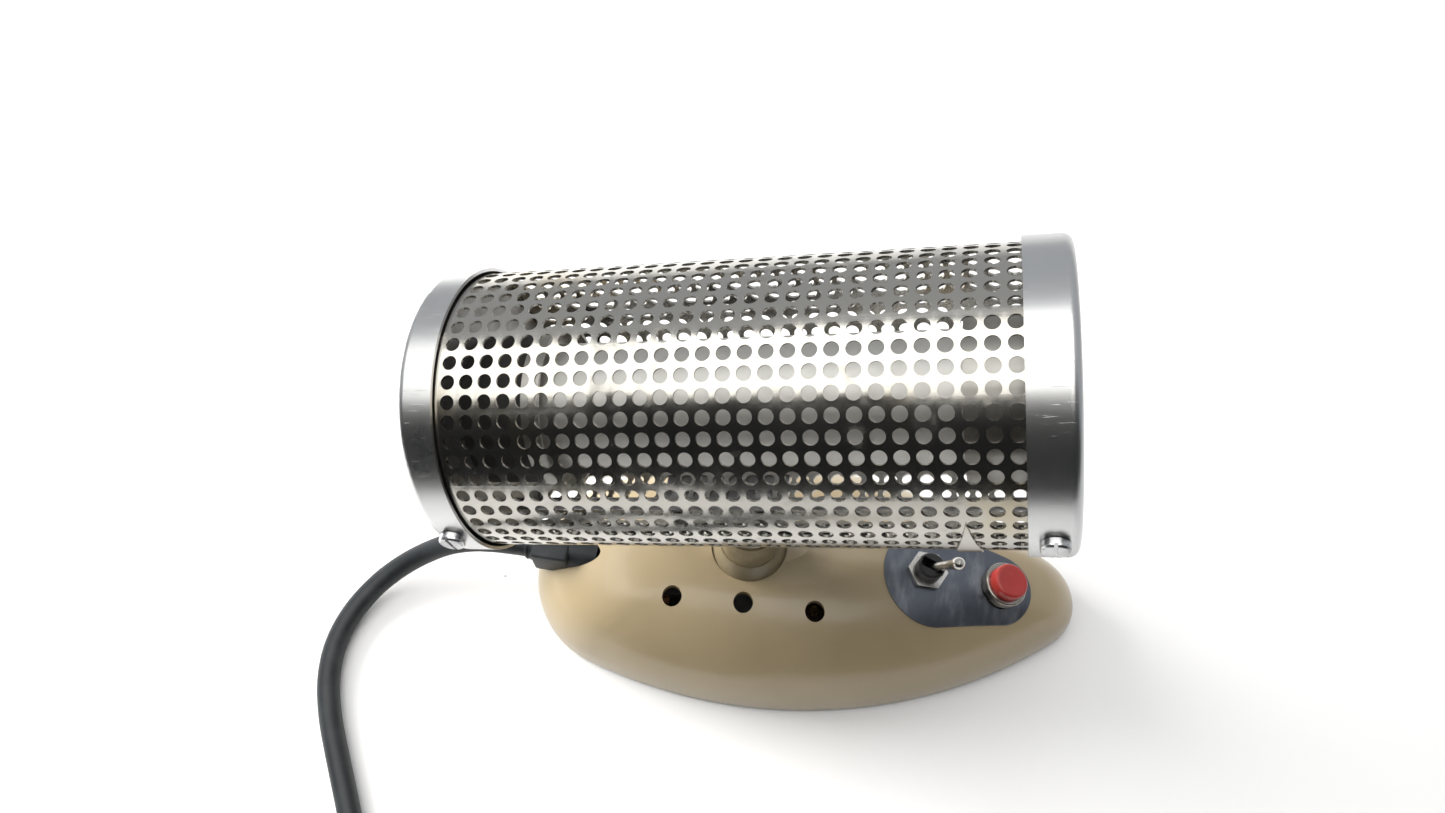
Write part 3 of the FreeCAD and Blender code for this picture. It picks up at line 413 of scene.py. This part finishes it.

# %% [markdown]
# ## Enamel of the stem
# The stem and its collar wear the base's cream enamel, drawn darker as painted shade from the drum
# above them, with grimy patches.

# %% Stem enamel
# Painted shade: the base's cream made darker, for the shadow of the drum on the stem.
STEM_CREAM_IN_SHADE = (0.30, 0.245, 0.15)
stem_paint = Finish("stem_enamel_in_shade", STEM_CREAM_IN_SHADE, 0.36, Coat_Weight=0.2, Coat_Roughness=0.2)
grime = stem_paint.noise(90, 4).ramp(0.4, 0.7)
stem_paint.set("Base Color", stem_paint.mixed(grime * 0.6, STEM_CREAM_IN_SHADE, (0.19, 0.15, 0.09)))
stem_paint.set("Roughness", 0.3 + grime * 0.15)
stem_paint.set("Normal", stem_paint.relief(stem_paint.noise(330, 2), 0.00006, 0.35))
stem_paint.wear("collar_ring", "stem_tube", "stem_fork")
print("stem enamel nodes", len(stem_paint.tree.nodes))

# %% [markdown]
# ## Steel of the perforated drum
# The guard is bright rolled sheet. Fine lines run along it, it is gently wavy from the
# rolling, it has one shallow dent on top, and heat has tinted it straw near the burner's
# ends. The waves matter: they make the reflections ripple.

# %% Guard
STEEL = (0.47, 0.455, 0.42)
guard = Finish("guard_steel", STEEL, 0.2, 1.0)
own = guard.turned(tuple(DRUM_MIDDLE), (0, -TILT, 0))
along, across, up = guard.along(own)
lines = guard.noise(1, 3, guard.stretched(own, (40, 1400, 1400)))
clouds = guard.noise(30, 4, own)
heat = guard.noise(38, 3, own).ramp(0.5, 0.68) * (along * along).ramp(0.0006, 0.0034)
soot = guard.noise(95, 4, own).ramp(0.58, 0.8)
straw = guard.mixed(heat * 0.6, STEEL, (0.42, 0.35, 0.22))
guard.set("Base Color", guard.mixed(soot * 0.45, straw, (0.24, 0.215, 0.175)))
guard.set("Roughness", 0.13 + clouds * 0.12 + soot * 0.2)
grain = guard.relief(lines, 0.00003, 0.25)
rolling = guard.noise(1, 2, guard.stretched(own, (24, 60, 60)))
waves = guard.relief(rolling, 0.0014, 0.35, grain)
off_middle = (along + 0.008) * (along + 0.008) + (across + 0.012) * (across + 0.012)
dent = off_middle.ramp(0.0009, 0.0) * up.ramp(0.0, 0.02)
guard.set("Normal", guard.relief(dent, 0.0016, 0.8, waves))
guard.wear("guard_tube", "guard_tab")
print("guard nodes", len(guard.tree.nodes))

# %% [markdown]
# ## Spun aluminium of the caps
# A cap is spun on a lathe, so its marks are rings round its axis: noise that changes with
# the distance from the axis and along it, and hardly at all round it.

# %% Caps
ALUMINIUM = (0.60, 0.605, 0.605)
DULL_ALUMINIUM = (0.46, 0.465, 0.465)
spun = Finish("spun_aluminium", ALUMINIUM, 0.36, 1.0)
own = spun.turned(tuple(DRUM_MIDDLE), (0, -TILT, 0))
along, across, up = spun.along(own)
reach = (across * across + up * up) ** 0.5
ringed = spun.node("CombineXYZ", {}, {0: along, 1: reach, 2: up * 0.03}).outputs[0]
rings = spun.noise(2600, 2, ringed)
blotches = spun.noise(34, 5)
scratches = spun.noise(1, 2, spun.stretched(spun.here, (90, 2300, 300))).ramp(0.66, 0.74)
spun.set("Base Color", spun.mixed(blotches.ramp(0.4, 0.75) * 0.4, ALUMINIUM, DULL_ALUMINIUM))
spun.set("Roughness", 0.22 + blotches * 0.16 + scratches * 0.12)
ring_marks = spun.relief(rings, 0.00002, 0.3)
spun.set("Normal", spun.relief(scratches, 0.00004, 0.5, ring_marks))
spun.wear("left_cap", "right_cap")
print("cap nodes", len(spun.tree.nodes))

# %% [markdown]
# ## The control plate
# The plate is thin blue-grey metal, dull from wiping, with pale rubbed streaks and darker
# stains in patches.

# %% Control plate
panel = Finish("panel_metal", (0.14, 0.155, 0.185), 0.32, 0.75)
smears = panel.noise(1, 4, panel.stretched(panel.here, (160, 60, 60)))
stains = panel.noise(150, 4)
rubbed = panel.mixed(smears.ramp(0.45, 0.75) * 0.7, (0.13, 0.145, 0.175), (0.33, 0.35, 0.38))
panel.set("Base Color", panel.mixed(stains.ramp(0.6, 0.75) * 0.6, rubbed, (0.05, 0.05, 0.055)))
panel.set("Roughness", 0.25 + stains * 0.25)
panel.set("Normal", panel.relief(smears, 0.0001, 0.4))
panel.wear("control_plate")
print("panel nodes", len(panel.tree.nodes))

# %% [markdown]
# ## Bright and dull metals
# Screws, nuts and pins are plated steel with cloudy tarnish. They differ only in a few
# values, so one function makes each finish from a row: its name, its clean and its dark
# colour, its roughness, how strongly it has tarnished, and the parts that wear it.

# %% Small metals


def metal(name, colour, dark, roughness, tarnish, *names):
    """A metal with brushed grain and cloudy tarnish."""
    made = Finish(name, colour, roughness, 1.0)
    clouds = made.noise(170, 4)
    grain = made.noise(1, 2, made.stretched(made.here, (500, 2500, 900)))
    made.set("Base Color", made.mixed(clouds.ramp(0.4, 0.75) * tarnish, colour, dark))
    made.set("Roughness", clouds * 0.2 + (roughness - 0.08))
    made.set("Normal", made.relief(grain, 0.00002, 0.3))
    return made.wear(*names)


METALS = (
    ("nickel", (0.72, 0.70, 0.66), (0.38, 0.35, 0.31), 0.2, 0.7, "toggle_nut", "toggle_body"),
    ("bezel_nickel", (0.42, 0.39, 0.35), (0.16, 0.13, 0.11), 0.22, 0.8, "button_housing"),
    ("screw_steel", (0.56, 0.56, 0.57), (0.22, 0.21, 0.21), 0.26, 0.6,
     "cap_screws", "saddle_screws", "saddle_nuts"),
    ("pin_steel", (0.5, 0.5, 0.5), (0.2, 0.19, 0.18), 0.32, 0.6,
     "tilt_bolt", "tilt_nut", "nod_pin", "nod_nut"),
    ("sheet_steel", (0.45, 0.45, 0.45), (0.26, 0.24, 0.22), 0.38, 0.6,
     "base_plate", "left_bulkhead", "right_bulkhead"),
    ("knuckle_steel", (0.36, 0.36, 0.37), (0.15, 0.14, 0.14), 0.42, 0.5,
     "knuckle_block", "saddle_bracket", "tie_rods"),
    ("hidden_steel", (0.42, 0.42, 0.43), (0.2, 0.19, 0.18), 0.4, 0.5,
     "stem_washer", "stem_nut", "button_nut"),
    ("zinc", (0.55, 0.55, 0.52), (0.3, 0.28, 0.2), 0.35, 0.5, "base_plate_screws", "capacitor"),
    ("brass", (0.70, 0.52, 0.25), (0.36, 0.24, 0.12), 0.26, 0.5, "terminal_screws", "plug_pins"),
    ("copper_winding", (0.62, 0.30, 0.17), (0.3, 0.13, 0.08), 0.35, 0.5, "choke_coil"),
    ("core_steel", (0.17, 0.17, 0.18), (0.08, 0.07, 0.07), 0.5, 0.6, "choke_core"),
    # Painted light: the tube's near-white satin is a brightened copy of the cups' satin aluminium,
    # for the dim light inside the drum.
    ("satin_tube_painted_light", (0.88, 0.87, 0.84), (0.74, 0.72, 0.67), 0.5, 0.3, "reflector_tube"),
    ("satin_cup", (0.55, 0.54, 0.51), (0.4, 0.37, 0.33), 0.32, 0.4, "left_cup", "right_cup"),
    ("element", (0.32, 0.29, 0.27), (0.16, 0.13, 0.12), 0.5, 0.6, "heater_element"),
)
metals = {row[0]: metal(*row) for row in METALS}
print("metals", len(bpy.data.materials))

# %% [markdown]
# ## Rubber, plastic, ceramic and glass
# Black rubber and plastic are never black: fine dust makes them a little paler in patches,
# and their moulded skin is faintly pitted.

# %% Soft and brittle finishes


def moulded(name, colour, dust_and_shade, roughness, grain, *names, **uniform):
    """A moulded skin with dust and fine pitting; grain is the number of pits along a metre."""
    made = Finish(name, colour, roughness, 0.0, **uniform)
    dust = made.noise(90, 5)
    made.set("Base Color", made.mixed(dust.ramp(0.42, 0.8), colour, dust_and_shade))
    made.set("Roughness", dust * 0.22 + (roughness - 0.1))
    made.set("Normal", made.relief(made.noise(grain, 3), 0.00008, 0.4))
    return made.wear(*names)


rubber = moulded("cord_rubber", (0.012, 0.0145, 0.017), (0.03, 0.034, 0.038), 0.5, 1500,
                 "rubber_feet", "cord_coil")
black = moulded("black_plastic", (0.010, 0.010, 0.011), (0.032, 0.032, 0.034), 0.38, 1200,
                "toggle_boot")
red = moulded("red_plastic", (0.42, 0.030, 0.026), (0.46, 0.06, 0.045), 0.34, 900, Coat_Weight=0.2)
moulded("phenolic", (0.045, 0.02, 0.012), (0.09, 0.06, 0.045), 0.4, 900, "terminal_block")
moulded("ceramic", (0.74, 0.71, 0.64), (0.6, 0.55, 0.46), 0.5, 1500, "left_holder", "right_holder")
moulded("quartz", (0.86, 0.88, 0.9), (0.8, 0.82, 0.84), 0.12, 300,
        "quartz_tube", Transmission_Weight=0.85)
moulded("dark_spacer", (0.02, 0.019, 0.018), (0.05, 0.045, 0.04), 0.6, 1100, "left_insulator")
cord_data.materials.append(rubber.material)
print("finishes", len(bpy.data.materials))

# %% [markdown]
# ## Strain relief
# The cord leaves the base through a black rubber relief: a round sleeve in the dome, a
# square head with soft edges, and a short nose with one rib that lets the cord bend evenly.

# %% Strain relief
nose = [(6.4, -10), (6.4, 6), (5.3, 17.2), (4.9, 17.6), (4.9, 18.0), (5.2, 18.2), (5.2, 18.8)]
nose += [(4.9, 19.0), (4.9, 19.2), (4.6, GLAND_LENGTH)]
relief = turned("strain_relief", nose)
head = boxed("relief_head", (13.4, 13.4, 15), (0, 0, 8.5))
bpy.ops.mesh.select_all(action="SELECT")
bpy.ops.mesh.bevel(offset=1.2 * MM, segments=4, affect="EDGES")
join_pieces(relief, head)
settle(relief, standing(gland_root, gland_aim), rubber, "base")
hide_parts("cord_gland")

# %% [markdown]
# ## Toggle lever
# A toggle's lever is a turned bat that swells smoothly to a round end. It stands in the
# boot at one end of its throw.

# %% Toggle lever
TOGGLE_PLACE = 68.4
TOGGLE_TURN = math.radians(-18)
TOGGLE_PIVOT = 5.2 * MM
TOGGLE_THROW = math.radians(28)
bat = [(1.6, -1.5), (1.65, 0.4), (1.65, 1.6), (1.7, 6.0), (1.75, 9.4), (1.85, 11.3), (2.1, 12.6)]
bat += [(2.32, 13.7), (2.42, 14.7), (2.3, 15.5), (1.95, 16.2), (1.4, 16.7), (0.7, 16.95)]
lever = turned("toggle_bat", bat)
toggle_place = dome_place(TOGGLE_PLACE) @ Matrix.Rotation(TOGGLE_TURN, 4, "Z")
swing = Matrix.Translation((0, 0, TOGGLE_PIVOT)) @ Matrix.Rotation(TOGGLE_THROW, 4, "Y")
settle(lever, toggle_place @ swing, metals["nickel"], "toggle", 60)
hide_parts("toggle_lever")

# %% [markdown]
# ## Push button
# The cap has a soft edge from the mould and a shallow dish that guides the finger.

# %% Push button cap
BUTTON_PLACE = 98.4
crown = [(6.9, -5), (6.9, 7.5), (6.78, 8.0), (6.45, 8.4), (5.9, 8.58), (5.0, 8.54)]
crown += [(3.4, 8.4), (1.5, 8.32)]
cap = turned("button_top", crown)
settle(cap, dome_place(BUTTON_PLACE), red, "button", 60)
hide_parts("button_cap")

# %% [markdown]
# ## Heating coil
# Resistance wire is wound in a close coil inside the quartz tube. A small circle beside
# the axis, swept by a Screw modifier, makes all its turns at once.

# %% Heating coil
COIL_START = -58
COIL_END = 77.6
WIRE_PITCH = 1.6
WIRE_RADIUS = 0.4
WINDING_RADIUS = 2.2
TURN_STEPS = 14
drum_axis = lean @ Vector((1, 0, 0))
begin()
beside_axis = {"location": (WINDING_RADIUS * MM, 0, 0), "rotation": (math.pi / 2, 0, 0)}
bpy.ops.mesh.primitive_circle_add(vertices=6, radius=WIRE_RADIUS * MM, **beside_axis)
winding = bpy.context.object
winding.name = "wound_element"
bpy.ops.object.transform_apply(location=True, rotation=True, scale=True)
screw = winding.modifiers.new("winding", "SCREW")
screw.axis = "Z"
screw.steps = TURN_STEPS
screw.render_steps = TURN_STEPS
screw.screw_offset = WIRE_PITCH * MM
screw.iterations = int((COIL_END - COIL_START) / WIRE_PITCH)
bpy.ops.object.modifier_apply(modifier=screw.name)
bpy.ops.object.mode_set(mode="EDIT")
bpy.ops.mesh.select_all(action="SELECT")
bpy.ops.mesh.fill_holes(sides=6)
bpy.ops.object.mode_set(mode="OBJECT")
coil_start = DRUM_MIDDLE / MM + drum_axis * COIL_START
settle(winding, standing(coil_start, drum_axis), metals["element"], "head")
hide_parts("heater_element")

# %% [markdown]
# ## Plug
# The plug is moulded on the cord's end: a ribbed tail, a rounded body and a plain face
# where the pins come out.

# %% Plug
plug = boxed("moulded_plug", (26.9, 30, 26), (0, 0, 35))
pick(plug, lambda face: face.normal.z > 0.9)
bpy.ops.mesh.inset(thickness=5 * MM)
bpy.ops.mesh.extrude_region_move(TRANSFORM_OT_translate={"value": (0, 0, 6 * MM)})
bpy.ops.mesh.select_all(action="SELECT")
bpy.ops.mesh.bevel(offset=2.6 * MM, segments=4, affect="EDGES")
tail = [(5.0, 0), (5.2, 2.0)]
for step in range(5):
    radius = 4.95 + 0.3 * step
    height = 3.4 + 3.6 * step
    tail += [(radius, height), (radius, height + 0.9)]
    tail += [(radius + 0.65, height + 1.2), (radius + 0.75, height + 2.7)]
tail += [(7.0, 22.5)]
join_pieces(plug, turned("plug_tail", tail))
settle(plug, standing(plug_tail, (1, 0, 0)), black, "base")
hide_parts("plug_body")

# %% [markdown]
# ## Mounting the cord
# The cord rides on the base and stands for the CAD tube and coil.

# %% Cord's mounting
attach(cord, "base")
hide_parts("cord_run", "cord_coil")

# %% [markdown]
# ## Table
# The lamp stands on a near-white table with faint stains and a few crumbs. Its front edge
# is well outside the view.

# %% Table
begin()
bpy.ops.mesh.primitive_plane_add(size=4, location=(0, 1.45, -0.0003))
table = bpy.context.object
table.name = "table"
PAPER = (0.90, 0.90, 0.905)
top = Finish("table_top", PAPER, 0.55)
stains = top.noise(9, 5)
crumbs = top.cells(26).ramp(0.018, 0.010) * top.noise(14).ramp(0.56, 0.62)
paper = top.mixed(stains.ramp(0.5, 0.9) * 0.35, PAPER, (0.84, 0.845, 0.85))
top.set("Base Color", top.mixed(crumbs * 0.7, paper, (0.35, 0.33, 0.32)))
top.set("Normal", top.relief(top.noise(400, 3), 0.0001, 0.2))
table.data.materials.append(top.material)
print("table done")

# %% [markdown]
# ## Light
# A wide soft box hangs over the table, a little to the left. A smaller one stands behind
# on the left and reaches the base under the drum; it is kept out of reflections, so that
# it doesn't glare on the metal.

# %% Soft boxes


def soft_box(name, width, depth, energy, place, target):
    """A rectangular area light at a place, turned to face a target."""
    data = bpy.data.lights.new(name, "AREA")
    data.shape = "RECTANGLE"
    data.size = width
    data.size_y = depth
    data.energy = energy
    data.color = (1.0, 0.985, 0.95)
    box = bpy.data.objects.new(name, data)
    box.location = place
    facing = Vector(target) - Vector(place)
    box.rotation_euler = facing.to_track_quat("-Z", "Y").to_euler()
    bpy.context.scene.collection.objects.link(box)
    return box


soft_box("overhead_box", 1.9, 1.2, 19, (-0.4, -0.03, 1.3), (-0.4, -0.03, 0))
side_box = soft_box("side_box", 0.7, 0.6, 21, (-0.92, 0.3, 0.4), (-0.06, -0.02, 0.02))
side_box.visible_glossy = False
print("soft boxes", len(bpy.data.lights))

# %% [markdown]
# ## Room
# The room is pale behind the lamp and dim in front of it: with the soft box, that puts the
# bright band and the dark band on the drum.

# %% Room
world = bpy.data.worlds.new("room")
bpy.context.scene.world = world
world.use_nodes = True
sky = world.node_tree
background = sky.nodes["Background"]
direction = sky.nodes.new("ShaderNodeTexCoord")
parts = sky.nodes.new("ShaderNodeSeparateXYZ")
sky.links.new(direction.outputs["Generated"], parts.inputs[0])
blend = sky.nodes.new("ShaderNodeMapRange")
blend.interpolation_type = "SMOOTHSTEP"
blend.inputs["From Min"].default_value = -0.45
blend.inputs["From Max"].default_value = 0.1
blend.inputs["To Min"].default_value = 0.02
blend.inputs["To Max"].default_value = 0.55
sky.links.new(parts.outputs["Y"], blend.inputs["Value"])
sky.links.new(blend.outputs[0], background.inputs["Strength"])
background.inputs["Color"].default_value = (0.93, 0.96, 1.0, 1)
bpy.context.scene.view_settings.view_transform = "Standard"
print("room set")
